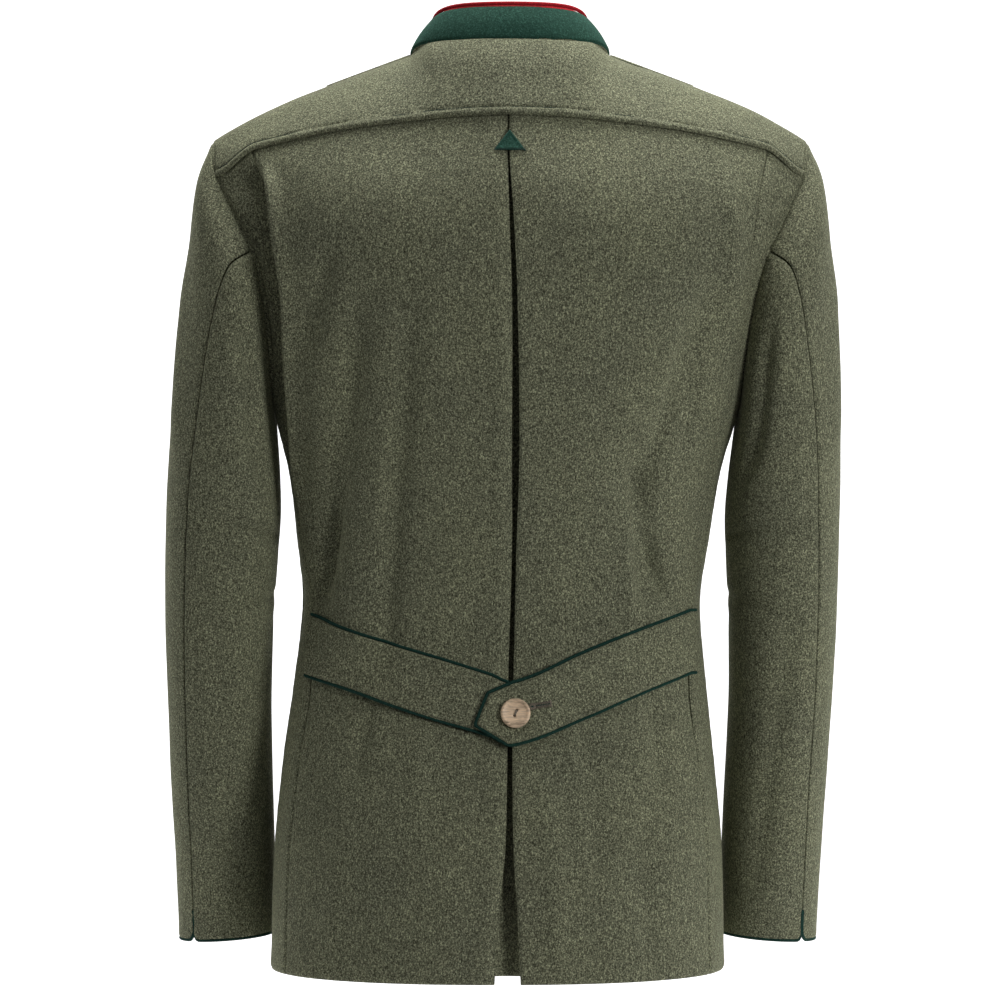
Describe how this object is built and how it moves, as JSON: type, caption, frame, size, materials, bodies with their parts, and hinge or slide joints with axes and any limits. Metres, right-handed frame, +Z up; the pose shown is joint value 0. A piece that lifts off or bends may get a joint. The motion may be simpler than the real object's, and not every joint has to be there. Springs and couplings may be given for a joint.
{
  "type": "tyrolean loden jacket",
  "caption": "Waist-shaped loden jacket with a stand collar, back yoke, centre back pleat and a buttoned half-belt, filled out as worn with nobody in it.",
  "frame": {"origin": "the middle of the neck opening, level with the collar's seam at the back of the neck", "axes": "+Z up, the front of the jacket faces -Y, +X is the wearer's left"},
  "size_m": [0.5403, 0.2741, 0.7635],
  "materials": {
    "loden": "milled grey-green melange wool loden, matt with a short nap",
    "collar_felt": "dark green wool felt, matt",
    "red_wool": "red wool cloth, matt",
    "piping_felt": "dark green folded wool piping",
    "button_wood": "pale turned wood with a fine streaked grain, oiled"
  },
  "bodies": {
    "root": {"yoke": "loden", "back_left": "loden", "back_right": "loden", "pleat_underlay": "loden", "side_left": "loden", "side_right": "loden", "front_left": "loden", "front_right": "loden", "collar_outer": "collar_felt", "collar_lining": "red_wool", "half_belt_left": "loden", "half_belt_right": "loden", "belt_piping_left_upper": "piping_felt", "belt_piping_left_lower": "piping_felt", "belt_piping_right": "piping_felt", "pleat_triangle": "collar_felt", "belt_button": "button_wood", "front_button_1": "button_wood", "front_button_2": "button_wood", "front_button_3": "button_wood", "front_button_4": "button_wood", "front_button_5": "button_wood", "sleeve_upper_left": "loden", "sleeve_under_left": "loden", "cuff_piping_left": "piping_felt", "sleeve_upper_right": "loden", "sleeve_under_right": "loden", "cuff_piping_right": "piping_felt"}
  },
  "joints": []
}
